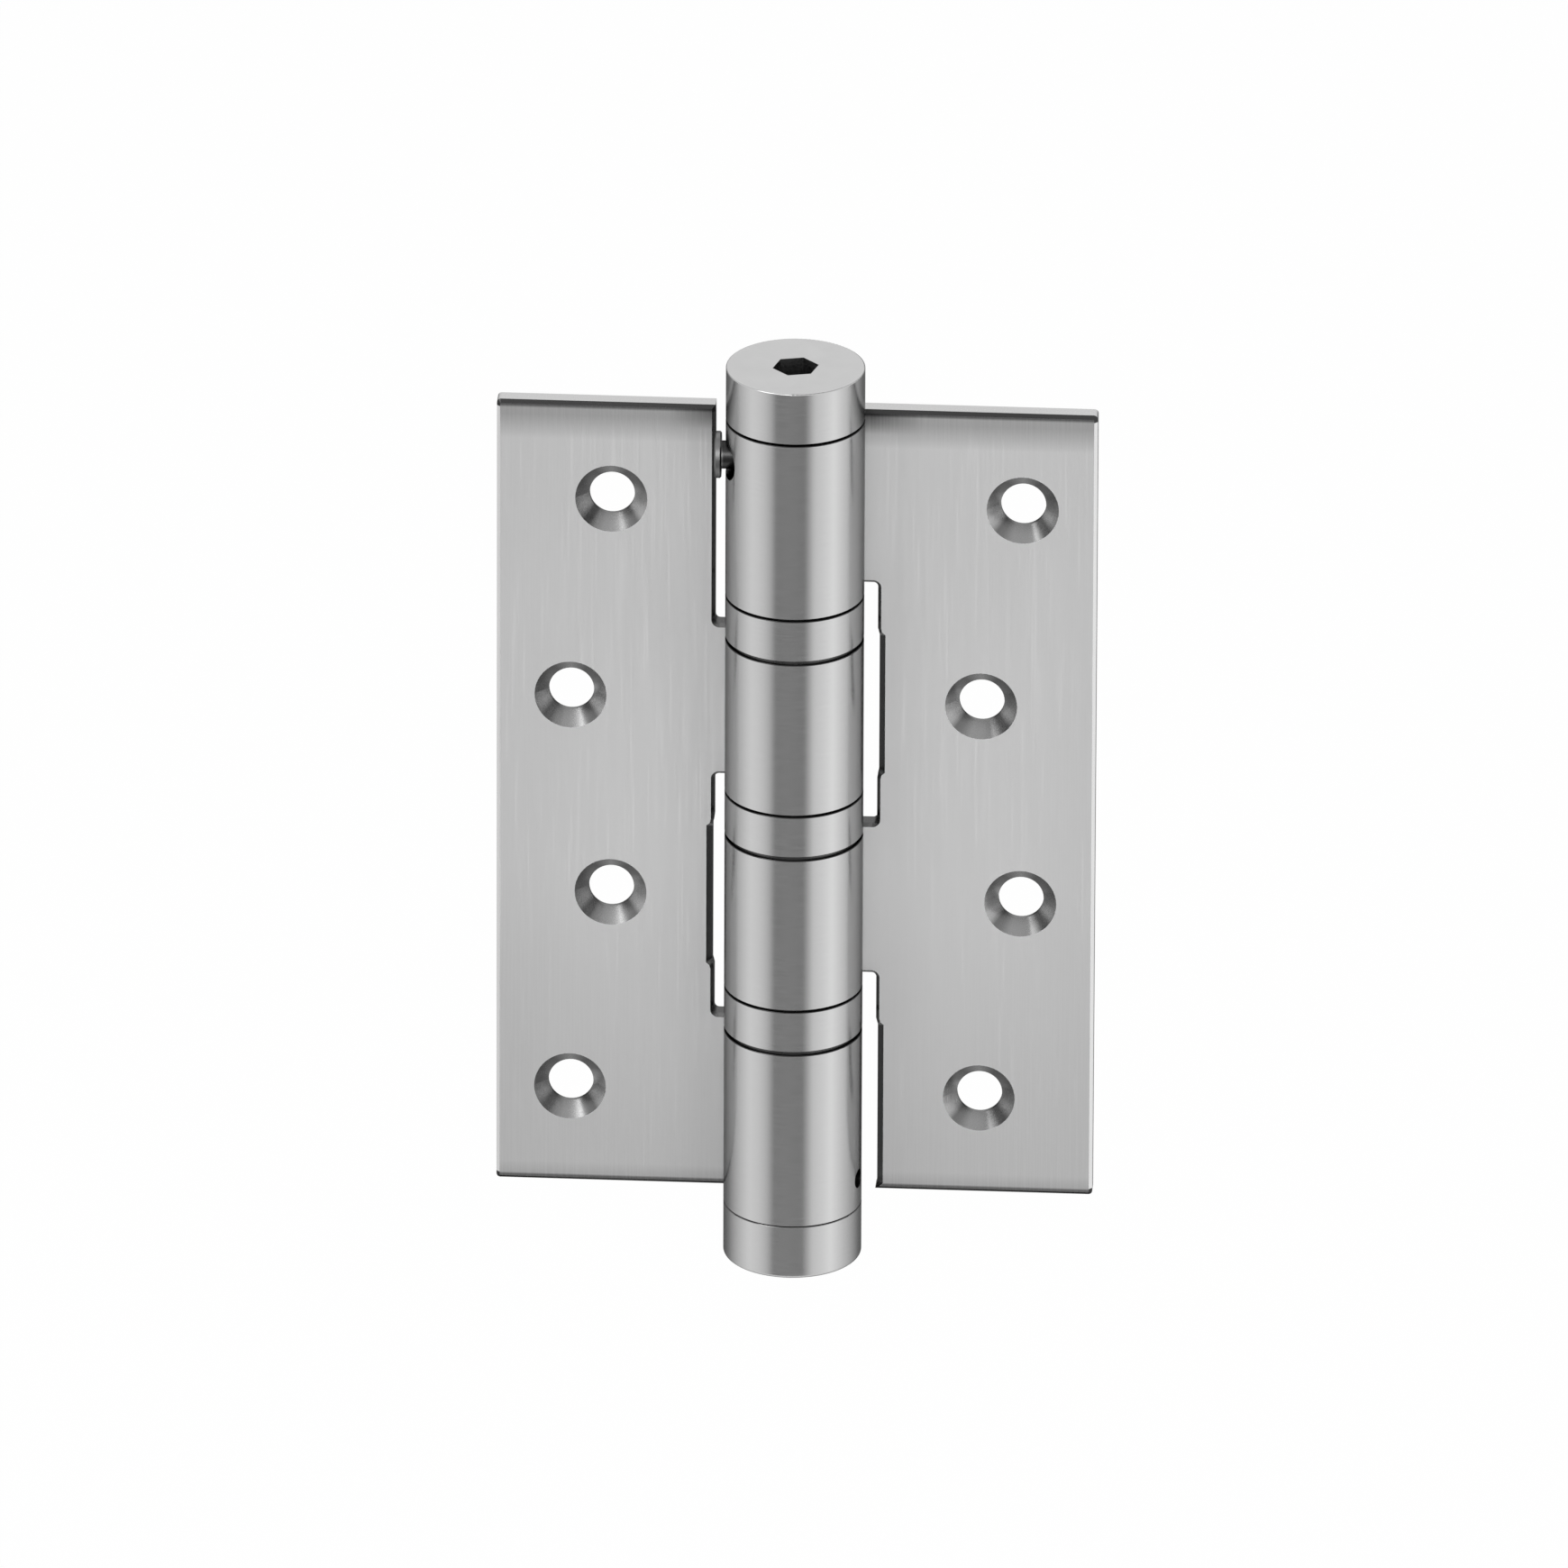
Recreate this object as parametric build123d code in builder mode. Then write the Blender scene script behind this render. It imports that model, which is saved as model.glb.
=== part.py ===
from build123d import *
from math import sqrt
import os

# Single-action spring hinge, opened flat, sizes in millimetres.
# The barrel's axis is Z, the leaves spread along X and their front faces look along -Y.
# The origin is on the axis, halfway up the leaves.

# Leaves, each cut, folded and rolled from one sheet
leaf_height = 127.0
leaf_reach = 44.5
sheet = 3.0
leaf_setback = 3.9
leaf_corner_radius = 0.6
front_chamfer = 0.5
back_chamfer = 0.2
root_blend_radius = 3.0
seam_width = 0.25

# Barrel
barrel_radius = 10.3
bearing_height = 7.4
end_knuckle_height = 28.0
end_chamfer = 0.1
upper_joint_gap = 0.35
lower_joint_gap = 0.6

# Slots that clear the other leaf's knuckles
slot_gap = 1.8
slot_corner_radius = 0.7
relief_depth = 0.25
relief_bevel = 0.9
relief_slope = 1.0

# Countersunk screw holes, two columns and four rows on each leaf
hole_radius = 3.35
countersink_radius = 5.35
countersink_angle = 82.0
inner_column = 27.5
outer_column = 33.5
hole_pitch = 32.0
hole_rows = 4

# How close two lengths are when they count as equal
tolerance = 0.01

# Clearances
running_clearance = 0.05
press_clearance = 0.02
side_clearance = 0.3
end_play = 0.3
cap_play = 0.05

# Caps, with the drum and the plug that reach into the end knuckles
cap_height = 8.5
shoulder_step = 1.0
top_edge_radius = 0.2
bottom_edge_radius = 0.5
plug_length = 17.5
top_joint_gap = 0.35
bottom_joint_gap = 0.12
hex_across_flats = 6.0
hex_depth = 7.0
hex_angle = 14.0

# Tension pin, its window in the top knuckle and the holes in the drum
pin_angle = 182.0
pin_drop = 5.9
pin_travel = 16.0
pin_shank_radius = 2.1
pin_head_radius = 3.5
pin_head_thickness = 1.0
pin_head_gap = 0.6
pin_dimple_radius = 1.3
pin_dimple_depth = 0.5
window_side_gap = 0.6
drum_holes = 5
drum_hole_floor = 4.4
pin_tip_gap = 0.2
pin_edge_chamfer = 0.2

# Anchor pin through the bottom knuckle
anchor_angle = 346.0
anchor_rise = 4.7
anchor_radius = 1.45
anchor_recess = 1.4
anchor_length = 6.5

# Hollow hinge pin and torsion spring
tube_wall = 1.05
wire_width = 2.2
wire_height = 3.4
spring_pitch = 6.0
tang_length = 6.0
tang_clearance = 0.2

# Thrust bearings between the knuckles
bearing_names = ["bearing_1", "bearing_2", "bearing_3"]
shell_wall = 0.5
ball_radius = 0.8
ball_clearance = 0.06
balls_per_bearing = 8
race_gap = 1.0
cage_thickness = 0.6
cage_wall = 0.24

# Sizes that follow from those above
front_plane = Plane(origin=(0, leaf_setback, 0), x_dir=(1, 0, 0), z_dir=(0, -1, 0))
top = leaf_height / 2
bottom = -top
bore_radius = barrel_radius - sheet
leaf_back = leaf_setback + sheet
slot_edge = barrel_radius + slot_gap
relief_reach = relief_depth + relief_bevel
middle_knuckle_height = (leaf_height - 2 * end_knuckle_height - 3 * bearing_height) / 2
tube_radius = bore_radius - running_clearance
tube_bore = tube_radius - tube_wall
plug_radius = bore_radius - press_clearance
drum_radius = bore_radius - running_clearance
drum_bottom = top - plug_length
plug_top = bottom + plug_length
upper_cap_middle = top + cap_height / 2
lower_cap_middle = bottom - cap_height / 2
spring_radius = tube_bore - side_clearance - wire_width / 2
coil_low = plug_top + end_play + wire_height / 2
coil_height = drum_bottom - end_play - wire_height / 2 - coil_low
lower_tang_angle = 0.0
upper_tang_angle = 360 * coil_height / spring_pitch
pin_height = top - pin_drop
window_radius = pin_shank_radius + window_side_gap
drum_hole_radius = pin_shank_radius + running_clearance
anchor_height = bottom + anchor_rise
anchor_hole_radius = anchor_radius + press_clearance
anchor_end = barrel_radius - anchor_recess
anchor_floor = anchor_end - anchor_length
shell_bore = barrel_radius - shell_wall
shoulder_radius = barrel_radius - shoulder_step
ball_circle = (tube_radius + shell_bore) / 2
race_bore = tube_radius + side_clearance
fixed_race_radius = shell_bore - press_clearance
turning_race_radius = shell_bore - side_clearance

# Levels of the barrel, from the top down
stack_heights = [
    end_knuckle_height,
    bearing_height,
    middle_knuckle_height,
    bearing_height,
    middle_knuckle_height,
    bearing_height,
    end_knuckle_height,
]
levels = [top]
for height in stack_heights:
    levels.append(levels[-1] - height)
knuckles = [(levels[n + 1], levels[n]) for n in (0, 2, 4, 6)]
bearings = [(levels[n + 1], levels[n]) for n in (1, 3, 5)]


def radial_plane(angle, height, distance):
    """A plane that looks straight out of the barrel, at a distance from its axis."""
    outward = Vector(1, 0, 0).rotate(Axis.Z, angle)
    return Plane(origin=outward * distance + Vector(0, 0, height), x_dir=(0, 0, 1), z_dir=outward)


def section_plane(angle):
    """A plane through the barrel's axis, with its own X pointing outwards and its own Y upwards."""
    outward = Vector(1, 0, 0).rotate(Axis.Z, angle)
    return Plane(origin=(0, 0, 0), x_dir=outward, z_dir=outward.cross(Vector(0, 0, 1)))


def radial_cylinder(angle, height, radius, start, end, mode=Mode.SUBTRACT):
    """A round hole, or a pin, that points at the axis between two distances from it."""
    with BuildSketch(radial_plane(angle, height, start)) as mouth:
        Circle(radius)
    extrude(mouth.sketch, amount=end - start, mode=mode)


def turned(low, high, radius, inner_radius=0.0, low_chamfer=0.0, high_chamfer=0.0, mode=Mode.ADD):
    """A disc, ring or tube about the barrel's axis, with its outer edges chamfered."""
    with BuildSketch(Plane.XZ) as section:
        with Locations(((radius + inner_radius) / 2, (low + high) / 2)):
            Rectangle(radius - inner_radius, high - low)
        if low_chamfer:
            chamfer(section.vertices().group_by(Axis.X)[-1].sort_by(Axis.Y)[0], low_chamfer)
        if high_chamfer:
            chamfer(section.vertices().group_by(Axis.X)[-1].sort_by(Axis.Y)[-1], high_chamfer)
    revolve(section.sketch, axis=Axis.Z, mode=mode)


def relief_points(side, span, depth):
    """The outline of a relief in a slot's edge. It runs out past the leaf where it meets its end."""
    low, high = span
    low_slope = relief_slope if low > bottom else -relief_reach
    high_slope = relief_slope if high < top else -relief_reach
    return [
        (0, min(low, low + low_slope)),
        (side * slot_edge, min(low, low + low_slope)),
        (side * (slot_edge + depth), low + low_slope),
        (side * (slot_edge + depth), high - high_slope),
        (side * slot_edge, max(high, high - high_slope)),
        (0, max(high, high - high_slope)),
    ]


def flat_leaf(leaf, side, slots, reliefs):
    """The flat of a leaf, with slots for the other leaf's knuckles. It ends inside the rolled knuckles."""
    inner_end = sqrt(barrel_radius**2 - leaf_back**2) - end_chamfer
    with BuildSketch(front_plane) as outline:
        with Locations((side * (inner_end + leaf_reach) / 2, 0)):
            Rectangle(leaf_reach - inner_end, leaf_height)
        fillet(outline.vertices().group_by(Axis.X)[-1 if side > 0 else 0], leaf_corner_radius)
        for low, high in slots:
            with BuildLine():
                Polyline(
                    (0, low),
                    (side * slot_edge, low),
                    (side * slot_edge, high),
                    (0, high),
                    close=True,
                )
            make_face(mode=Mode.SUBTRACT)
        for span in reliefs:
            with BuildLine():
                Polyline(*relief_points(side, span, relief_depth), close=True)
            make_face(mode=Mode.SUBTRACT)
        for low, high in slots:
            ends = [level for level in (low, high) if abs(level) < top]
            corners = outline.vertices().filter_by(
                lambda v: abs(abs(v.X) - slot_edge) < tolerance
                and any(abs(v.Y - end) < tolerance for end in ends)
            )
            fillet(corners, slot_corner_radius)
    extrude(outline.sketch, amount=-sheet)
    chamfer(leaf.faces().filter_by(Axis.Y).sort_by(Axis.Y)[0].edges(), front_chamfer)
    chamfer(leaf.faces().filter_by(Axis.Y).sort_by(Axis.Y)[-1].edges(), back_chamfer)
    for span in reliefs:
        with BuildSketch(front_plane) as bevel:
            with BuildLine():
                Polyline(*relief_points(side, span, relief_reach), close=True)
            make_face()
        extrude(bevel.sketch, amount=-relief_reach, taper=45, mode=Mode.SUBTRACT)


def rolled_knuckle(side, span):
    """A knuckle rolled from the leaf's sheet, with its seam at the leaf's front face."""
    low, high = span
    turned(low, high, barrel_radius, 0.0, end_chamfer, end_chamfer)
    centre_distance = barrel_radius + root_blend_radius
    blend_y = leaf_back + root_blend_radius
    blend_x = sqrt(centre_distance**2 - blend_y**2)
    share = barrel_radius / centre_distance
    on_barrel = Vector(side * blend_x * share, blend_y * share)
    on_leaf = Vector(side * blend_x, leaf_back)
    blend_centre = Vector(side * blend_x, blend_y)
    towards_corner = ((on_barrel + on_leaf) / 2 - blend_centre).normalized()
    on_curve = blend_centre + towards_corner * root_blend_radius
    mid_sheet = leaf_setback + sheet / 2
    with BuildSketch(Plane.XY.offset(low)) as root:
        with BuildLine():
            ThreePointArc(on_barrel, on_curve, on_leaf)
            Polyline(on_leaf, (side * blend_x, mid_sheet), (0, mid_sheet), on_barrel)
        make_face()
    extrude(root.sketch, amount=high - low)
    with BuildSketch(Plane.XY.offset(low)) as rolled:
        Circle(bore_radius)
        with Locations((side * barrel_radius / 2, leaf_setback - seam_width / 2)):
            Rectangle(barrel_radius, seam_width)
    extrude(rolled.sketch, amount=high - low, mode=Mode.SUBTRACT)


def screw_holes(side, columns):
    """Countersunk holes, entered from the leaf's front face."""
    with Locations(front_plane):
        for row in range(hole_rows):
            rise = ((hole_rows - 1) / 2 - row) * hole_pitch
            with Locations((side * columns[row % 2], rise)):
                CounterSinkHole(hole_radius, countersink_radius, 2 * sheet, countersink_angle)


def tang_pocket(angle, end, depth):
    """A square pocket in the end of the drum or the plug, which the spring's tang sits in."""
    with BuildSketch(Plane.XY.offset(end).rotated((0, 0, angle))) as mouth:
        with Locations((spring_radius, 0)):
            Rectangle(wire_width + 2 * tang_clearance, wire_width + 2 * tang_clearance)
    extrude(mouth.sketch, amount=depth, mode=Mode.SUBTRACT)


def keep(part, name):
    """Labels a finished piece and writes it."""
    part.label = name
    export_step(part, f"parts/{name}.step")


os.makedirs("parts", exist_ok=True)

# Frame leaf, on the right, with knuckles 1 and 3
with BuildPart() as frame_leaf:
    flat_leaf(
        frame_leaf,
        1,
        slots=[(bearings[1][0], bearings[0][1]), (bottom, bearings[2][1])],
        reliefs=[knuckles[1], knuckles[3]],
    )
    rolled_knuckle(1, knuckles[0])
    rolled_knuckle(1, knuckles[2])
    screw_holes(1, (outer_column, inner_column))
    for angle in (pin_angle, pin_angle + pin_travel):
        radial_cylinder(angle, pin_height, window_radius, bore_radius / 2, 2 * barrel_radius)
    with BuildSketch(section_plane(pin_angle)) as window:
        with Locations((barrel_radius, pin_height)):
            Rectangle(barrel_radius, 2 * window_radius)
    revolve(window.sketch, axis=Axis.Z, revolution_arc=pin_travel, mode=Mode.SUBTRACT)
keep(frame_leaf.part, "frame_leaf")

# Door leaf, on the left, with knuckles 2 and 4
with BuildPart() as door_leaf:
    flat_leaf(
        door_leaf,
        -1,
        slots=[(bearings[0][0], top), (bearings[2][0], bearings[1][1])],
        reliefs=[knuckles[2]],
    )
    rolled_knuckle(-1, knuckles[1])
    rolled_knuckle(-1, knuckles[3])
    screw_holes(-1, (inner_column, outer_column))
    radial_cylinder(anchor_angle, anchor_height, anchor_hole_radius, bore_radius / 2, 2 * barrel_radius)
keep(door_leaf.part, "door_leaf")

# Tension cap, turned in one piece with the drum that holds the spring's upper end
with BuildPart() as tension_cap:
    turned(top + top_joint_gap, top + cap_height, barrel_radius, low_chamfer=end_chamfer)
    fillet(tension_cap.edges().filter_by(GeomType.CIRCLE).sort_by(Axis.Z)[-1], top_edge_radius)
    turned(top + cap_play, upper_cap_middle, shoulder_radius)
    turned(drum_bottom, upper_cap_middle, drum_radius, low_chamfer=end_chamfer)
    with BuildSketch(Plane.XY.offset(top + cap_height)):
        RegularPolygon(hex_across_flats / 2, 6, major_radius=False, rotation=hex_angle)
    extrude(amount=-hex_depth, mode=Mode.SUBTRACT)
    for n in range(drum_holes):
        angle = pin_angle + n * 360 / drum_holes
        radial_cylinder(angle, pin_height, drum_hole_radius, drum_hole_floor, 2 * barrel_radius)
    tang_pocket(upper_tang_angle, drum_bottom, tang_length + end_play)
keep(tension_cap.part, "tension_cap")

# Tension pin, pressed by the spring against the end of its window
with BuildPart() as tension_pin:
    head_start = barrel_radius + pin_head_gap
    head_end = head_start + pin_head_thickness
    shank_start = drum_hole_floor + pin_tip_gap
    radial_cylinder(pin_angle, pin_height, pin_shank_radius, shank_start, head_end, mode=Mode.ADD)
    radial_cylinder(pin_angle, pin_height, pin_head_radius, head_start, head_end, mode=Mode.ADD)
    radial_cylinder(pin_angle, pin_height, pin_dimple_radius, head_end - pin_dimple_depth, head_end)
    outward = radial_plane(pin_angle, pin_height, 0).z_dir
    rims = tension_pin.edges().filter_by(GeomType.CIRCLE).sort_by(Axis((0, 0, 0), outward))
    chamfer(rims.filter_by(lambda rim: abs(rim.radius - pin_head_radius) < tolerance), pin_edge_chamfer)
keep(tension_pin.part, "tension_pin")

# Bottom cap, turned in one piece with the plug that holds the spring's lower end
with BuildPart() as bottom_cap:
    turned(bottom - cap_height, bottom - bottom_joint_gap, barrel_radius, high_chamfer=end_chamfer)
    fillet(bottom_cap.edges().filter_by(GeomType.CIRCLE).sort_by(Axis.Z)[0], bottom_edge_radius)
    turned(lower_cap_middle, bottom, shoulder_radius)
    turned(lower_cap_middle, plug_top, plug_radius, high_chamfer=end_chamfer)
    radial_cylinder(anchor_angle, anchor_height, anchor_hole_radius, anchor_floor, 2 * barrel_radius)
    tang_pocket(lower_tang_angle, plug_top, -tang_length - end_play)
keep(bottom_cap.part, "bottom_cap")

# Anchor pin, which locks the plug in knuckle 4
with BuildPart() as anchor_pin:
    radial_cylinder(anchor_angle, anchor_height, anchor_radius, anchor_floor, anchor_end, mode=Mode.ADD)
keep(anchor_pin.part, "anchor_pin")

# Hollow hinge pin, which all four knuckles sit on
with BuildPart() as hinge_tube:
    turned(plug_top + end_play, drum_bottom - end_play, tube_radius, tube_bore)
keep(hinge_tube.part, "hinge_tube")

# Torsion spring, a coil of flat wire with a straight tang at each end
with BuildPart() as torsion_spring:
    with BuildLine() as coil:
        Helix(spring_pitch, coil_height, spring_radius, center=(0, 0, coil_low))
    with BuildSketch(Plane.XZ) as wire:
        with Locations((spring_radius, coil_low)):
            Rectangle(wire_width, wire_height)
    sweep(wire.sketch, path=coil.wire(), is_frenet=True)
    tang_reach = wire_height / 2 + end_play + tang_length
    for angle, start, reach in (
        (lower_tang_angle, coil_low, -tang_reach),
        (upper_tang_angle, coil_low + coil_height, tang_reach),
    ):
        with BuildSketch(Plane.XY.offset(start).rotated((0, 0, angle))) as tang:
            with Locations((spring_radius, 0)):
                Rectangle(wire_width, wire_width)
        extrude(tang.sketch, amount=reach)
keep(torsion_spring.part, "torsion_spring")

# Thrust bearings, each with a shell ring, two races, a cage and its balls
for name, (low, high) in zip(bearing_names, bearings):
    middle = (low + high) / 2
    with BuildPart() as shell:
        ring_low, ring_high = low + lower_joint_gap, high - upper_joint_gap
        turned(ring_low, ring_high, barrel_radius, shell_bore, end_chamfer, end_chamfer)
    keep(shell.part, f"{name}_shell")
    with BuildPart() as lower_race:
        turned(low, middle - race_gap / 2, fixed_race_radius, race_bore)
        with BuildSketch(Plane.XZ) as groove:
            with Locations((ball_circle, middle)):
                Circle(ball_radius + ball_clearance)
        revolve(groove.sketch, axis=Axis.Z, mode=Mode.SUBTRACT)
    keep(lower_race.part, f"{name}_lower_race")
    with BuildPart() as upper_race:
        turned(middle + race_gap / 2, high, turning_race_radius, race_bore)
        with BuildSketch(Plane.XZ) as groove:
            with Locations((ball_circle, middle)):
                Circle(ball_radius + ball_clearance)
        revolve(groove.sketch, axis=Axis.Z, mode=Mode.SUBTRACT)
    keep(upper_race.part, f"{name}_upper_race")
    with BuildPart() as cage:
        cage_half_width = ball_radius + ball_clearance + cage_wall
        turned(
            middle - cage_thickness / 2,
            middle + cage_thickness / 2,
            ball_circle + cage_half_width,
            ball_circle - cage_half_width,
        )
        with BuildSketch(Plane.XY.offset(middle - cage_thickness)) as pockets:
            with PolarLocations(ball_circle, balls_per_bearing):
                Circle(ball_radius + ball_clearance)
        extrude(pockets.sketch, amount=2 * cage_thickness, mode=Mode.SUBTRACT)
    keep(cage.part, f"{name}_cage")
    with BuildPart(Plane.XY.offset(middle)) as balls:
        with PolarLocations(ball_circle, balls_per_bearing):
            Sphere(ball_radius)
    keep(balls.part, f"{name}_balls")
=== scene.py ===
import bmesh
import bpy
import math
from mathutils import Matrix, Vector


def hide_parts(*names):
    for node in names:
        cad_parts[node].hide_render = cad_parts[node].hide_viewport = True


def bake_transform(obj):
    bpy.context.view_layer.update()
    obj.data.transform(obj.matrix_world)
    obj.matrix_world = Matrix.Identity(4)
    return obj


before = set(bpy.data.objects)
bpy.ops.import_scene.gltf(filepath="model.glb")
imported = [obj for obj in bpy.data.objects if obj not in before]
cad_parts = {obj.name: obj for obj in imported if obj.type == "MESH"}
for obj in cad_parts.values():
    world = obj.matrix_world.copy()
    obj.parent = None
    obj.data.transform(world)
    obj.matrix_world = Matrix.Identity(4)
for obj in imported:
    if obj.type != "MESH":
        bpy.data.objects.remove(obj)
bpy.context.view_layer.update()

# Camera, as the photograph was taken: a long lens from above, a little to the right
PHOTO_SIZE = 1740
PHOTO_PIXELS_PER_METRE = 7480.0
ORIGIN_RIGHT = 881
ORIGIN_DOWN = 899
CAMERA_AZIMUTH = math.radians(3.5)
CAMERA_ELEVATION = math.radians(24.5)
CAMERA_ROLL = math.radians(0.22)
CAMERA_DISTANCE = 6.0
CAMERA_NEAREST = 0.1
CAMERA_FURTHEST = 60.0
SENSOR_WIDTH = 36.0

# Stage, in metres. What the camera sees of the floor is mostly plain white, so its shadow is faint
FLOOR_LEVEL = -0.45
FLOOR_SIZE = 8.0
FLOOR_TONE = 0.9
FLOOR_WHITE_SHARE = 0.9
TENT_RADIUS = 0.5
TENT_TOP = 0.06
TENT_SIDES = 96
SOFTBOX_DISTANCE = 0.9
SOFTBOX_RADIANCE = 3.45

# Brightness of the light tent by direction, in degrees from the front and positive to the right
TENT_PEAK = 1.29
TENT_STOPS = (
    (-180, 0.35),
    (-130, 0.42),
    (-73, 1.08),
    (-60, 1.0),
    (-50, 0.91),
    (-38, 0.69),
    (-28, 0.28),
    (-5, 0.29),
    (20, 0.27),
    (36, 0.94),
    (58, 1.13),
    (70, 1.29),
    (80, 1.13),
    (100, 0.87),
    (140, 0.46),
    (180, 0.35),
)

# Painted reflections round a countersink: its tone by the way its wall faces, in degrees: 0 away from
# the barrel, 90 upward
PAINTED_REFLECTION_PEAK = 2.2
PAINTED_REFLECTION_STOPS = (
    (-180, 1.3),
    (-152, 0.85),
    (-120, 0.8),
    (-90, 1.8),
    (-60, 0.85),
    (-35, 0.9),
    (-10, 2.0),
    (20, 2.2),
    (32, 1.8),
    (43, 0.75),
    (55, 0.85),
    (72, 1.35),
    (104, 1.35),
    (118, 1.0),
    (128, 0.5),
    (140, 0.5),
    (152, 1.2),
    (168, 1.4),
    (180, 1.3),
)

# The hinge, in metres from its centre or its axis
BARREL_RADIUS = 0.0103
LEAF_TOP = 0.0635
LEAF_REACH = 0.0445
CAP_TOP = 0.072
SLOT_REACH = 0.0165
SOCKET_REACH = 0.0037
PIN_HEAD_REACH = 0.01096
SPRING_CUT = 0.03
SAME_POINT = 1e-7
SHARP_ANGLE = math.radians(30)

# How far in from a leaf's outer side or end its cut faces begin, and where they are complete
CUT_START = 0.0011
CUT_FULL = 0.001

# Bands in which one finish passes into the next, as shares of the radius or height of an edge
WITHIN_BARREL = (0.985, 0.995)
WITHIN_SOCKET = (0.99, 1.0)
UNDER_CAP_TOP = (0.9994, 0.9999)
UNDER_CAP_RIM = (0.989, 0.99)
OFF_BARREL = (1.0, 1.002)
ON_FLAT = (1.005, 1.03)
PAST_SLOT = (1.0, 1.01)

# The part of a normal that points along an axis, where a finish begins and where it is complete
TILTED = (0.3, 0.6)
BEVELLED = (0.3, 0.5)
LEVEL = (0.9, 0.98)
SQUARE_ON = (0.85, 0.95)
FRONT_TO_BACK = (-0.2, 0.2)

# Tones of the steel, as shares of the light that it reflects
WHITE = (1, 1, 1)
FLAT_TONE = 0.89
# Painted light: the flats are lighter towards the barrel
PAINTED_LIGHT_NEAR_BARREL = 1.12
BARREL_TONE = 0.54
# Painted light: faces that lie level, such as the caps' ends, are lighter
END_FACE_PAINTED_LIGHT = 1.35
PIN_TONE = 0.18
# Painted shade inside the barrel: in its joints, on their chamfers and in the window
PAINTED_SHADE_TONE = 0.052
SOCKET_SHADE = 0.35
SLOT_TONE = 0.17
# Painted shade: countersinks are darker than the flats
COUNTERSINK_PAINTED_SHADE_TONE = 0.21
LEAF_END_TONE = 0.75
# Painted dark reflection on the chamfers along the leaves' ends
END_LINE_PAINTED_DARK_TONE = 0.052
LEAF_SIDE_TONE = 0.74
EDGE_TINT = 0.35

# Gloss of the steel. The direction of its blur is in turns: upright on turned work, sideways on flats
FLAT_ROUGHNESS = 0.75
BARREL_ROUGHNESS = 0.22
CUT_ROUGHNESS = 0.25
PIN_ROUGHNESS = 0.32
BLUR_STRETCH = 0.7
UPRIGHT = 0.25
SIDEWAYS = 0.0

# Brush lines, as noise in waves to a metre along X, Y and Z, and what they do to tone and gloss
FLAT_GRAIN = (4200, 4200, 60)
TURNED_GRAIN = (300, 300, 6000)
PLAIN_GRAIN = (5000, 5000, 60)
CLOUD_GRAIN = (45, 45, 18)
GRAIN_DETAIL = 3.0
CLOUD_DETAIL = 2.0
NOISE_LOW = 0.3
NOISE_HIGH = 0.7
GRAIN_DEPTH = 0.015
PLAIN_GRAIN_DEPTH = 0.04
CLOUD_DEPTH = 0.015
GLOSS_DEPTH = 0.12
BUMP_STRENGTH = 0.005
PLAIN_BUMP_STRENGTH = 0.01
BUMP_DISTANCE = 0.0001

# Painted shades, each from one height to another and from one share to another
BOTTOM_JOINT_SHADE = (-0.0632, -0.0622, 0.75, 1.0)
UPPER_SHADE = (0.0, LEAF_TOP, 1.0, 0.96)
LOWER_SHADE = (-LEAF_TOP, -0.012, 0.88, 1.0)
TOP_SHADE = (LEAF_TOP - 0.006, LEAF_TOP - 0.0022, 1.0, 0.7)
TOP_PAINTED_LINE = (LEAF_TOP - 0.0011, LEAF_TOP - 0.0007, 1.0, 0.35)
LOW_SHADE = (-LEAF_TOP + 0.0008, -LEAF_TOP + 0.003, 0.84, 1.0)
LOW_PAINTED_LINE = (-LEAF_TOP + 0.0008, -LEAF_TOP + 0.0011, 0.4, 1.0)

# The same by the distance aside, as painted light that is lighter near the barrel, and by both, as a
# painted dark reflection in the corner by the top cap
PAINTED_LIGHT_BAND = (0.013, 0.043, PAINTED_LIGHT_NEAR_BARREL, 1.0)
PAINTED_CORNER_ASIDE = (0.011, 0.019, 0.75, 0.0)
PAINTED_CORNER_HEIGHT = (LEAF_TOP - 0.0038, LEAF_TOP - 0.0006, 0.0, 1.0)


def turned_to(azimuth, elevation=0.0):
    """A unit vector from the hinge, with azimuth 0 at the front and positive to the right."""
    return Vector((
        math.sin(azimuth) * math.cos(elevation),
        -math.cos(azimuth) * math.cos(elevation),
        math.sin(elevation),
    ))


def add_object(name, data):
    item = bpy.data.objects.new(name, data)
    bpy.context.scene.collection.objects.link(item)
    return item


def make_camera():
    data = bpy.data.cameras.new("camera")
    camera = add_object("camera", data)
    data.sensor_width = SENSOR_WIDTH
    frame_width = PHOTO_SIZE / PHOTO_PIXELS_PER_METRE
    data.lens = SENSOR_WIDTH * CAMERA_DISTANCE / frame_width
    data.clip_start = CAMERA_NEAREST
    data.clip_end = CAMERA_FURTHEST
    back = turned_to(CAMERA_AZIMUTH, CAMERA_ELEVATION)
    facing = (-back).to_track_quat("-Z", "Y").to_matrix()
    facing = facing @ Matrix.Rotation(CAMERA_ROLL, 3, "Z")
    right_offset = (PHOTO_SIZE / 2 - ORIGIN_RIGHT) / PHOTO_PIXELS_PER_METRE
    up_offset = (ORIGIN_DOWN - PHOTO_SIZE / 2) / PHOTO_PIXELS_PER_METRE
    place = back * CAMERA_DISTANCE + facing @ Vector((right_offset, up_offset, 0))
    camera.matrix_world = Matrix.Translation(place) @ facing.to_4x4()
    bpy.context.scene.camera = camera


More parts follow.
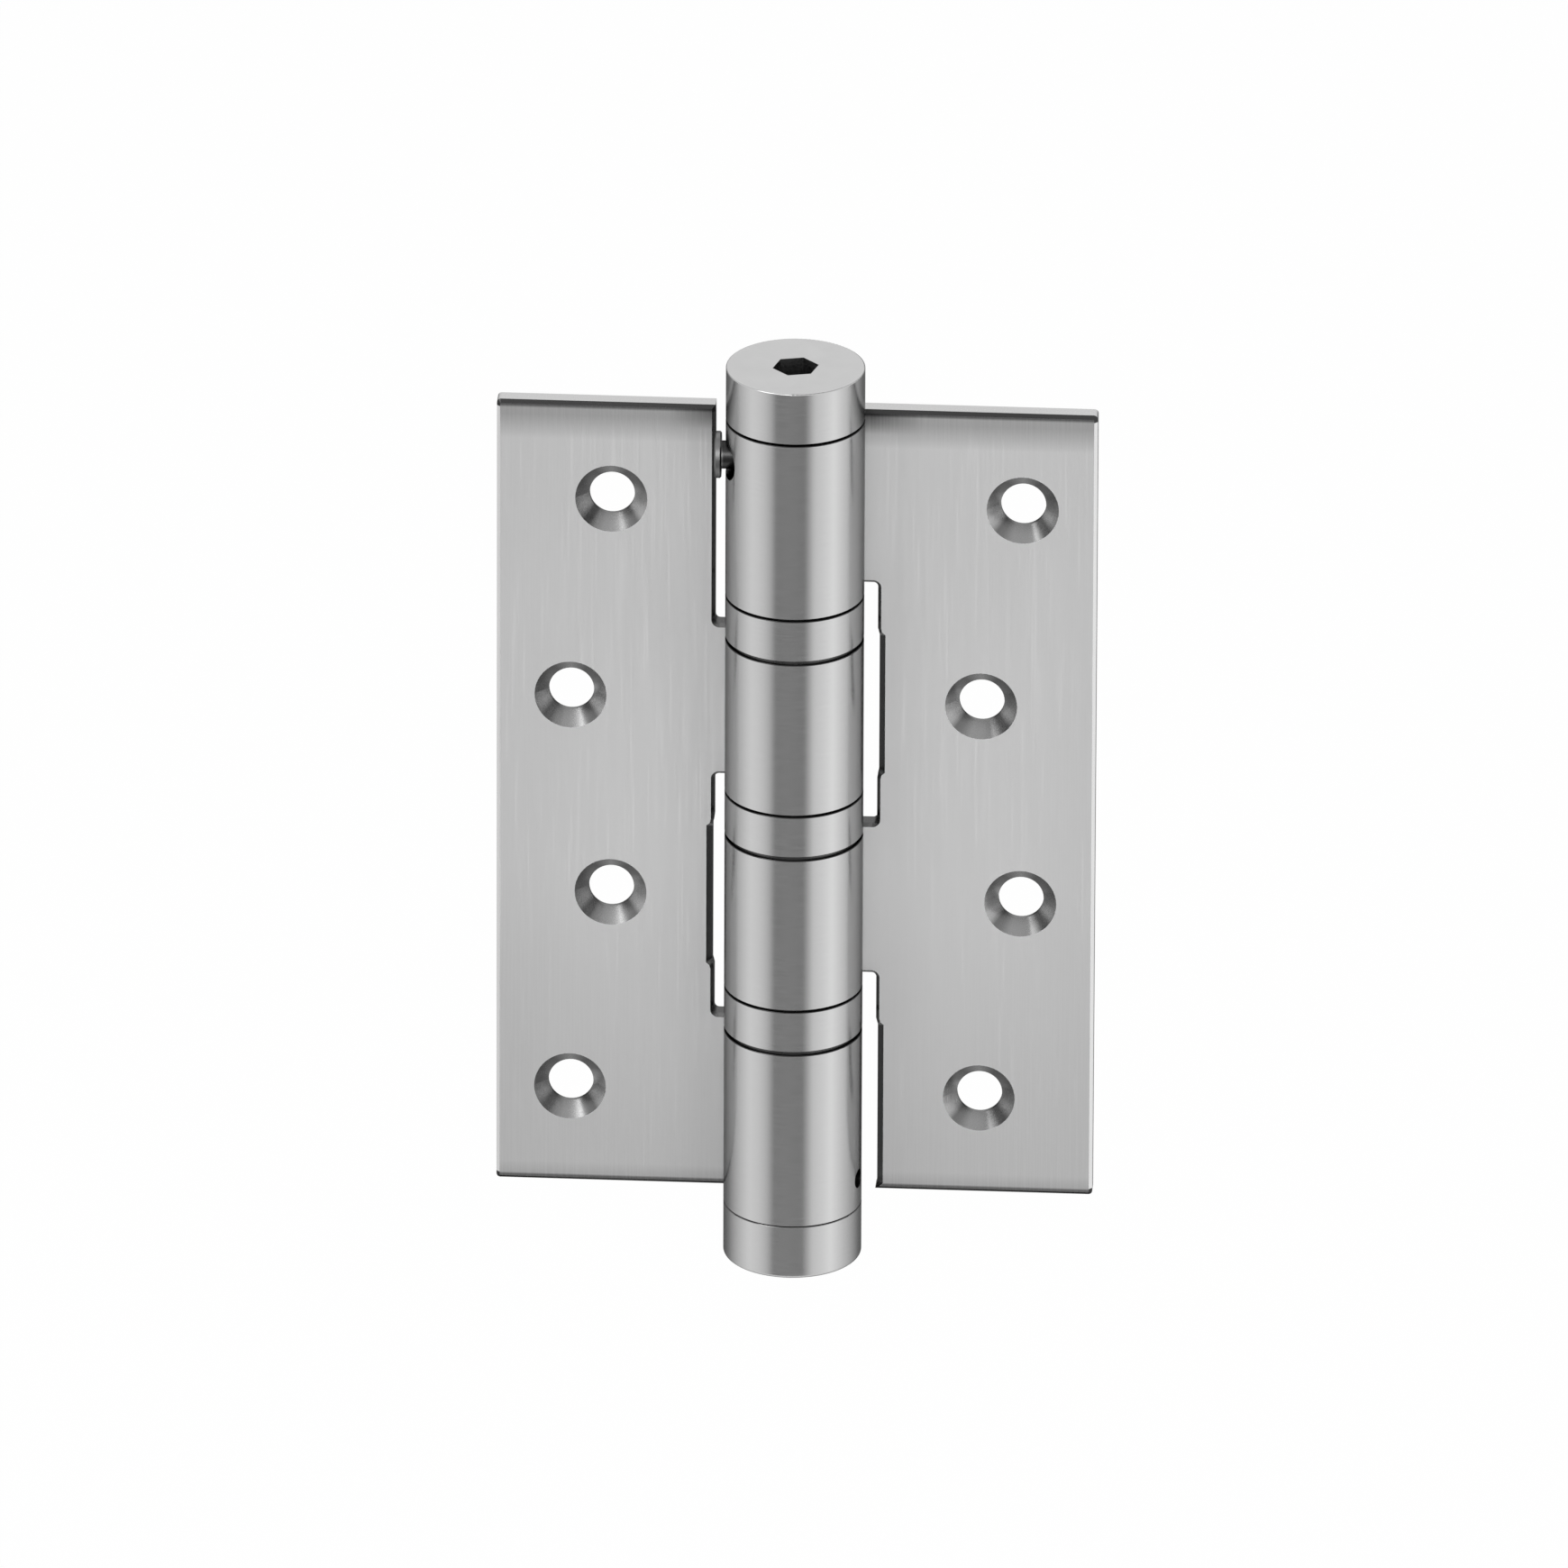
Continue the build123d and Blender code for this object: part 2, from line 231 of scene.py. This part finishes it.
class Nodes:
    """A short way to write a node tree."""

    def __init__(self, owner):
        owner.use_nodes = True
        self.tree = owner.node_tree
        self.tree.nodes.clear()

    def add(self, kind, **settings):
        """A node with its settings, or with its inputs' values where it has no such setting."""
        node = self.tree.nodes.new(kind)
        for name, value in settings.items():
            if hasattr(node, name):
                setattr(node, name, value)
            else:
                node.inputs[name].default_value = value
        return node

    def link(self, source, target):
        self.tree.links.new(source, target)

    def feed(self, socket, value):
        """A number goes on the socket itself, and another node's output is linked to it."""
        if isinstance(value, (int, float)):
            socket.default_value = value
        else:
            self.link(value, socket)

    def math(self, operation, *values):
        node = self.add("ShaderNodeMath", operation=operation)
        for socket, value in zip(node.inputs, values):
            self.feed(socket, value)
        return node.outputs[0]

    def product(self, first, *others):
        for other in others:
            first = self.math("MULTIPLY", first, other)
        return first

    def size(self, value):
        """A value without its sign."""
        return self.math("ABSOLUTE", value)

    def ramp(self, value, low, high, out_low=0, out_high=1):
        """A value's range from low to high mapped to another one, and held beyond its ends."""
        node = self.add("ShaderNodeMapRange")
        node.clamp = True
        for name, number in (
            ("From Min", low),
            ("From Max", high),
            ("To Min", out_low),
            ("To Max", out_high),
        ):
            node.inputs[name].default_value = number
        self.link(value, node.inputs["Value"])
        return node.outputs["Result"]

    def band(self, value, edge, shares, out_low=0, out_high=1):
        """A ramp across a narrow band about an edge."""
        low, high = shares
        return self.ramp(value, edge * low, edge * high, out_low, out_high)

    def blend(self, share, start, end):
        """A value that goes from start to end with a share from 0 to 1."""
        node = self.add("ShaderNodeMix", data_type="FLOAT")
        for number, value in ((0, share), (2, start), (3, end)):
            self.feed(node.inputs[number], value)
        return node.outputs[0]

    def parts(self, output):
        """The X, Y and Z of a point's place, or of its normal, in the piece's own coordinates."""
        source = self.add("ShaderNodeTexCoord")
        split = self.add("ShaderNodeSeparateXYZ")
        self.link(source.outputs[output], split.inputs[0])
        return split.outputs

    def end(self, kind, shader):
        output = self.add(kind)
        self.link(shader, output.inputs[0])


def graded(nodes, direction, stops, peak):
    """A grey from 0 to 1 that goes round a full turn through the stops, with the peak as 1."""
    share = nodes.ramp(direction, -math.pi, math.pi)
    grades = nodes.add("ShaderNodeValToRGB")
    elements = grades.color_ramp.elements
    while len(elements) < len(stops):
        elements.new(0.5)
    for element, (degrees, level) in zip(elements, stops):
        element.position = (degrees + 180) / 360
        element.color = (level / peak, level / peak, level / peak, 1)
    nodes.link(share, grades.inputs["Fac"])
    return grades.outputs["Color"]


def white_when_seen(nodes, lit, strength):
    """Mixes in plain white for rays that show the background, so that shadows stay faint."""
    path = nodes.add("ShaderNodeLightPath")
    seen = nodes.math("MAXIMUM", path.outputs["Is Camera Ray"], path.outputs["Is Glossy Ray"])
    seen = nodes.math("MAXIMUM", seen, path.outputs["Is Transmission Ray"])
    white = nodes.add("ShaderNodeEmission", Color=(*WHITE, 1))
    mix = nodes.add("ShaderNodeMixShader")
    nodes.link(nodes.product(seen, strength), mix.inputs[0])
    nodes.link(lit, mix.inputs[1])
    nodes.link(white.outputs[0], mix.inputs[2])
    return mix.outputs[0]


def make_world():
    world = bpy.data.worlds.new("studio")
    nodes = Nodes(world)
    background = nodes.add("ShaderNodeBackground", Color=(*WHITE, 1), Strength=1.0)
    nodes.end("ShaderNodeOutputWorld", background.outputs[0])
    bpy.context.scene.world = world


def make_floor():
    half = FLOOR_SIZE / 2
    mesh = bpy.data.meshes.new("floor")
    corners = [(-half, -half), (half, -half), (half, half), (-half, half)]
    mesh.from_pydata([(x, y, FLOOR_LEVEL) for x, y in corners], [], [(0, 1, 2, 3)])
    material = bpy.data.materials.new("floor_white")
    nodes = Nodes(material)
    diffuse = nodes.add("ShaderNodeBsdfDiffuse", Color=(FLOOR_TONE, FLOOR_TONE, FLOOR_TONE, 1))
    shader = white_when_seen(nodes, diffuse.outputs[0], FLOOR_WHITE_SHARE)
    nodes.end("ShaderNodeOutputMaterial", shader)
    mesh.materials.append(material)
    add_object("floor", mesh)


def make_tent():
    """A round wall of graded light about the hinge, which only the metal's reflections show."""
    vertices, faces = [], []
    for side in range(TENT_SIDES):
        direction = turned_to(math.tau * side / TENT_SIDES) * TENT_RADIUS
        vertices.append((direction.x, direction.y, FLOOR_LEVEL))
        vertices.append((direction.x, direction.y, TENT_TOP))
        low, next_low = 2 * side, 2 * ((side + 1) % TENT_SIDES)
        faces.append((low, next_low, next_low + 1, low + 1))
    mesh = bpy.data.meshes.new("tent")
    mesh.from_pydata(vertices, [], faces)
    material = bpy.data.materials.new("tent_light")
    nodes = Nodes(material)
    at = nodes.parts("Object")
    direction = nodes.math("ARCTAN2", at["X"], nodes.product(at["Y"], -1.0))
    glow = nodes.add("ShaderNodeEmission", Strength=TENT_PEAK)
    nodes.link(graded(nodes, direction, TENT_STOPS, TENT_PEAK), glow.inputs["Color"])
    nodes.end("ShaderNodeOutputMaterial", glow.outputs[0])
    mesh.materials.append(material)
    tent = add_object("tent", mesh)
    tent.visible_camera = False
    tent.visible_shadow = False
    tent.visible_diffuse = False


def make_softbox(name, azimuth, elevation, width, height):
    """A soft lamp that faces the hinge, from a direction in degrees."""
    data = bpy.data.lights.new(name, "AREA")
    data.shape = "RECTANGLE"
    data.size = width
    data.size_y = height
    data.energy = SOFTBOX_RADIANCE * math.pi * width * height
    light = add_object(name, data)
    back = turned_to(math.radians(azimuth), math.radians(elevation))
    facing = (-back).to_track_quat("-Z", "Y").to_matrix().to_4x4()
    light.matrix_world = Matrix.Translation(back * SOFTBOX_DISTANCE) @ facing
    light.visible_camera = False


def stretched_noise(nodes, grain, detail=GRAIN_DETAIL):
    """Noise in the piece's own coordinates, drawn out along one axis."""
    place = nodes.add("ShaderNodeTexCoord")
    mapping = nodes.add("ShaderNodeMapping", Scale=grain)
    nodes.link(place.outputs["Object"], mapping.inputs["Vector"])
    noise = nodes.add("ShaderNodeTexNoise", Scale=1.0, Detail=detail)
    nodes.link(mapping.outputs[0], noise.inputs["Vector"])
    return noise.outputs["Fac"]


def uneven(nodes, noise, depth):
    """A share about 1 that follows a noise, with this depth to either side."""
    return nodes.ramp(noise, NOISE_LOW, NOISE_HIGH, 1 - depth, 1 + depth)


def worn(nodes, tone, lines, depth):
    """A tone with the faint unevenness of brushed steel: its lines, and slow changes between them."""
    cloud = stretched_noise(nodes, CLOUD_GRAIN, CLOUD_DETAIL)
    return nodes.product(tone, uneven(nodes, lines, depth), uneven(nodes, cloud, CLOUD_DEPTH))


def finish_metal(nodes, colour, tone, roughness, lines, bump, turn=UPRIGHT):
    """Ends a metal's nodes with its shader. Its gloss and relief follow the brush lines a little."""
    shader = nodes.add("ShaderNodeBsdfPrincipled", Metallic=1.0, Anisotropic=BLUR_STRETCH)
    shader.inputs["Specular Tint"].default_value = (EDGE_TINT, EDGE_TINT, EDGE_TINT, 1)
    nodes.feed(shader.inputs["Anisotropic Rotation"], turn)
    shade = nodes.add("ShaderNodeVectorMath", operation="SCALE")
    shade.inputs[0].default_value = colour
    nodes.link(tone, shade.inputs["Scale"])
    nodes.link(shade.outputs[0], shader.inputs["Base Color"])
    roughness = nodes.product(roughness, uneven(nodes, lines, GLOSS_DEPTH))
    nodes.link(roughness, shader.inputs["Roughness"])
    relief = nodes.add("ShaderNodeBump", Strength=bump, Distance=BUMP_DISTANCE)
    nodes.link(lines, relief.inputs["Height"])
    nodes.link(relief.outputs[0], shader.inputs["Normal"])
    nodes.end("ShaderNodeOutputMaterial", shader.outputs[0])


def distance_from_axis(nodes, at):
    squared_x = nodes.product(at["X"], at["X"])
    squared_y = nodes.product(at["Y"], at["Y"])
    return nodes.math("SQRT", nodes.math("ADD", squared_x, squared_y))


def painted_shade_share(nodes, at, facing, reach, edge):
    """Painted shade: 0 outside the edge, 1 in the joints, on the chamfers at their edges and in the
    window, and less in the socket.
    """
    height = nodes.size(at["Z"])
    inside = nodes.product(
        nodes.band(reach, edge, WITHIN_BARREL, 1, 0),
        nodes.band(reach, SOCKET_REACH, WITHIN_SOCKET, SOCKET_SHADE, 1),
        nodes.band(height, CAP_TOP, UNDER_CAP_TOP, 1, 0),
    )
    joint_edge = nodes.product(
        nodes.ramp(nodes.size(facing["Z"]), *TILTED),
        nodes.band(height, CAP_TOP, UNDER_CAP_RIM, 1, 0),
        nodes.band(reach, BARREL_RADIUS, OFF_BARREL, 1, 0),
        nodes.ramp(at["Z"], *BOTTOM_JOINT_SHADE),
    )
    return nodes.math("MAXIMUM", inside, joint_edge)


def countersink_painted_shading(nodes, at, facing):
    """The tone of a countersink's wall: painted shade, with painted reflections in light and dark
    patches round the hole.
    """
    outward = nodes.product(facing["X"], nodes.math("SIGN", at["X"]))
    direction = nodes.math("ARCTAN2", facing["Z"], outward)
    patches = graded(nodes, direction, PAINTED_REFLECTION_STOPS, PAINTED_REFLECTION_PEAK)
    return nodes.product(patches, COUNTERSINK_PAINTED_SHADE_TONE * PAINTED_REFLECTION_PEAK)


def plain_metal(name, colour, roughness):
    """A metal of one finish."""
    material = bpy.data.materials.new(name)
    nodes = Nodes(material)
    lines = stretched_noise(nodes, PLAIN_GRAIN)
    tone = worn(nodes, 1.0, lines, PLAIN_GRAIN_DEPTH)
    finish_metal(nodes, colour, tone, roughness, lines, PLAIN_BUMP_STRENGTH)
    return material


def turned_metal(name, open_tone, open_roughness, edge=BARREL_RADIUS):
    """Turned steel, with painted light on its level end faces, and painted shade within the edge, where
    the barrel hides it.
    """
    material = bpy.data.materials.new(name)
    nodes = Nodes(material)
    at = nodes.parts("Object")
    facing = nodes.parts("Normal")
    painted_shade_mask = painted_shade_share(nodes, at, facing, distance_from_axis(nodes, at), edge)
    lines = stretched_noise(nodes, TURNED_GRAIN)
    upward = nodes.size(facing["Z"])
    # Painted light on the faces that lie level
    open_part = nodes.ramp(upward, *LEVEL, open_tone, open_tone * END_FACE_PAINTED_LIGHT)
    # Painted shade within the edge
    tone = worn(nodes, nodes.blend(painted_shade_mask, open_part, PAINTED_SHADE_TONE), lines, GRAIN_DEPTH)
    roughness = nodes.blend(painted_shade_mask, open_roughness, CUT_ROUGHNESS)
    finish_metal(nodes, WHITE, tone, roughness, lines, BUMP_STRENGTH)
    return material


def flat_tone(nodes, at, facing, aside):
    """The tone of a leaf's flats, with painted shade towards their top and bottom and painted light
    near the barrel. Their front is painted darker along the ends, with dark lines, and with a painted
    dark reflection in the cap's corner.
    """
    up = at["Z"]
    # Painted shade on the front: a dark reflection in the cap's corner, and dark lines and shade along
    # the ends
    corner = nodes.product(nodes.ramp(aside, *PAINTED_CORNER_ASIDE), nodes.ramp(up, *PAINTED_CORNER_HEIGHT))
    painted_shades = [nodes.ramp(up, *shade) for shade in (TOP_SHADE, TOP_PAINTED_LINE, LOW_SHADE, LOW_PAINTED_LINE)]
    front = nodes.product(nodes.math("SUBTRACT", 1.0, corner), *painted_shades)
    at_front = nodes.ramp(facing["Y"], *FRONT_TO_BACK, 1, 0)
    # Painted shade towards the top and bottom, and painted light near the barrel
    return nodes.product(
        FLAT_TONE,
        nodes.ramp(up, *UPPER_SHADE),
        nodes.ramp(up, *LOWER_SHADE),
        nodes.ramp(aside, *PAINTED_LIGHT_BAND),
        nodes.blend(at_front, 1.0, front),
    )


def cut_tone(nodes, at, facing, aside):
    """The tone of a leaf's cut faces: countersinks, slots, outer side, and ends with a painted dark
    reflection line on their chamfers.
    """
    height = nodes.size(at["Z"])
    forward = nodes.size(facing["Y"])
    at_slot = nodes.band(aside, SLOT_REACH, PAST_SLOT, 1, 0)
    at_side = nodes.ramp(aside, LEAF_REACH - CUT_START, LEAF_REACH - CUT_FULL)
    at_end = nodes.ramp(height, LEAF_TOP - CUT_START, LEAF_TOP - CUT_FULL)
    end_tone = nodes.blend(nodes.ramp(forward, *BEVELLED), LEAF_END_TONE, END_LINE_PAINTED_DARK_TONE)
    tone = nodes.blend(at_slot, countersink_painted_shading(nodes, at, facing), SLOT_TONE)
    tone = nodes.blend(at_side, tone, LEAF_SIDE_TONE)
    return nodes.blend(at_end, tone, end_tone)


def leaf_metal(name):
    """A leaf's steel: satin on the flat, smoother on the barrel, and smooth where it was cut."""
    material = bpy.data.materials.new(name)
    nodes = Nodes(material)
    at = nodes.parts("Object")
    facing = nodes.parts("Normal")
    reach = distance_from_axis(nodes, at)
    aside = nodes.size(at["X"])
    on_flat = nodes.band(reach, BARREL_RADIUS, ON_FLAT)
    cut = nodes.product(on_flat, nodes.ramp(nodes.size(facing["Y"]), *SQUARE_ON, 1, 0))
    painted_shade_mask = painted_shade_share(nodes, at, facing, reach, BARREL_RADIUS)

    brushed = stretched_noise(nodes, FLAT_GRAIN)
    turned = stretched_noise(nodes, TURNED_GRAIN)
    lines = nodes.blend(on_flat, turned, brushed)
    tone = nodes.blend(on_flat, BARREL_TONE, flat_tone(nodes, at, facing, aside))
    tone = nodes.blend(cut, tone, cut_tone(nodes, at, facing, aside))
    # Painted shade where the barrel hides the leaf, and in the joints
    tone = nodes.blend(painted_shade_mask, tone, PAINTED_SHADE_TONE)
    tone = worn(nodes, tone, lines, GRAIN_DEPTH)
    roughness = nodes.blend(on_flat, BARREL_ROUGHNESS, FLAT_ROUGHNESS)
    roughness = nodes.blend(cut, roughness, CUT_ROUGHNESS)
    turn = nodes.blend(on_flat, UPRIGHT, SIDEWAYS)
    finish_metal(nodes, WHITE, tone, roughness, lines, BUMP_STRENGTH, turn)
    return material


def dress(material, *names):
    for name in names:
        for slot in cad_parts[name].material_slots:
            slot.material = material


def make_spring_part(name, keeps_top, material):
    """The torsion spring above or below its cut, as a closed mesh."""
    shape = bmesh.new()
    shape.from_mesh(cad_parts["torsion_spring"].data)
    bmesh.ops.remove_doubles(shape, verts=shape.verts[:], dist=SAME_POINT)
    cut = bmesh.ops.bisect_plane(
        shape,
        geom=shape.verts[:] + shape.edges[:] + shape.faces[:],
        plane_co=(0, 0, SPRING_CUT),
        plane_no=(0, 0, 1),
        clear_outer=not keeps_top,
        clear_inner=keeps_top,
    )
    rim = [item for item in cut["geom_cut"] if isinstance(item, bmesh.types.BMEdge)]
    bmesh.ops.triangle_fill(shape, use_beauty=True, edges=rim)
    bmesh.ops.recalc_face_normals(shape, faces=shape.faces[:])
    mesh = bpy.data.meshes.new(name)
    shape.to_mesh(mesh)
    shape.free()
    if mesh.has_custom_normals:
        mesh.attributes.remove(mesh.attributes["custom_normal"])
    mesh.materials.append(material)
    mesh.shade_smooth()
    mesh.set_sharp_from_angle(angle=SHARP_ANGLE)
    part = add_object(name, mesh)
    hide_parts("torsion_spring")
    return part


make_camera()
make_world()
make_floor()
make_tent()
make_softbox("front_softbox", azimuth=-4.0, elevation=30.0, width=0.5, height=0.3)
make_softbox("side_softbox", azimuth=-50.0, elevation=45.0, width=0.4, height=0.4)

leaf_steel = leaf_metal("leaf_steel")
barrel_steel = turned_metal("barrel_steel", BARREL_TONE, BARREL_ROUGHNESS)
pin_steel = turned_metal("pin_steel", PIN_TONE, PIN_ROUGHNESS, PIN_HEAD_REACH)
plain_steel = plain_metal("plain_steel", colour=(0.48, 0.48, 0.48), roughness=0.25)
spring_steel = plain_metal("spring_steel", colour=(0.22, 0.22, 0.23), roughness=0.35)
# Painted shade: the races are dark, for they show through the gaps of the joints
race_steel = plain_metal("race_steel", colour=(0.12, 0.12, 0.12), roughness=0.3)
bearing_steel = plain_metal("bearing_steel", colour=(0.57, 0.57, 0.57), roughness=0.1)
cage_brass = plain_metal("cage_brass", colour=(0.61, 0.45, 0.21), roughness=0.3)

dress(leaf_steel, "frame_leaf", "door_leaf")
dress(barrel_steel, "tension_cap", "bottom_cap")
dress(pin_steel, "tension_pin")
dress(plain_steel, "anchor_pin", "hinge_tube")
dress(spring_steel, "torsion_spring")
for number in (1, 2, 3):
    bearing = f"bearing_{number}_"
    dress(barrel_steel, bearing + "shell")
    dress(race_steel, bearing + "lower_race", bearing + "upper_race")
    dress(bearing_steel, bearing + "balls")
    dress(cage_brass, bearing + "cage")

# The spring, split at its cut into a lower and an upper part. On the real hinge its lower end turns
# with the door and its upper end with the cap
lower_spring = make_spring_part("lower_spring", False, spring_steel)
upper_spring = make_spring_part("upper_spring", True, spring_steel)
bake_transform(lower_spring)
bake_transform(upper_spring)

bpy.context.scene.view_settings.view_transform = "Standard"
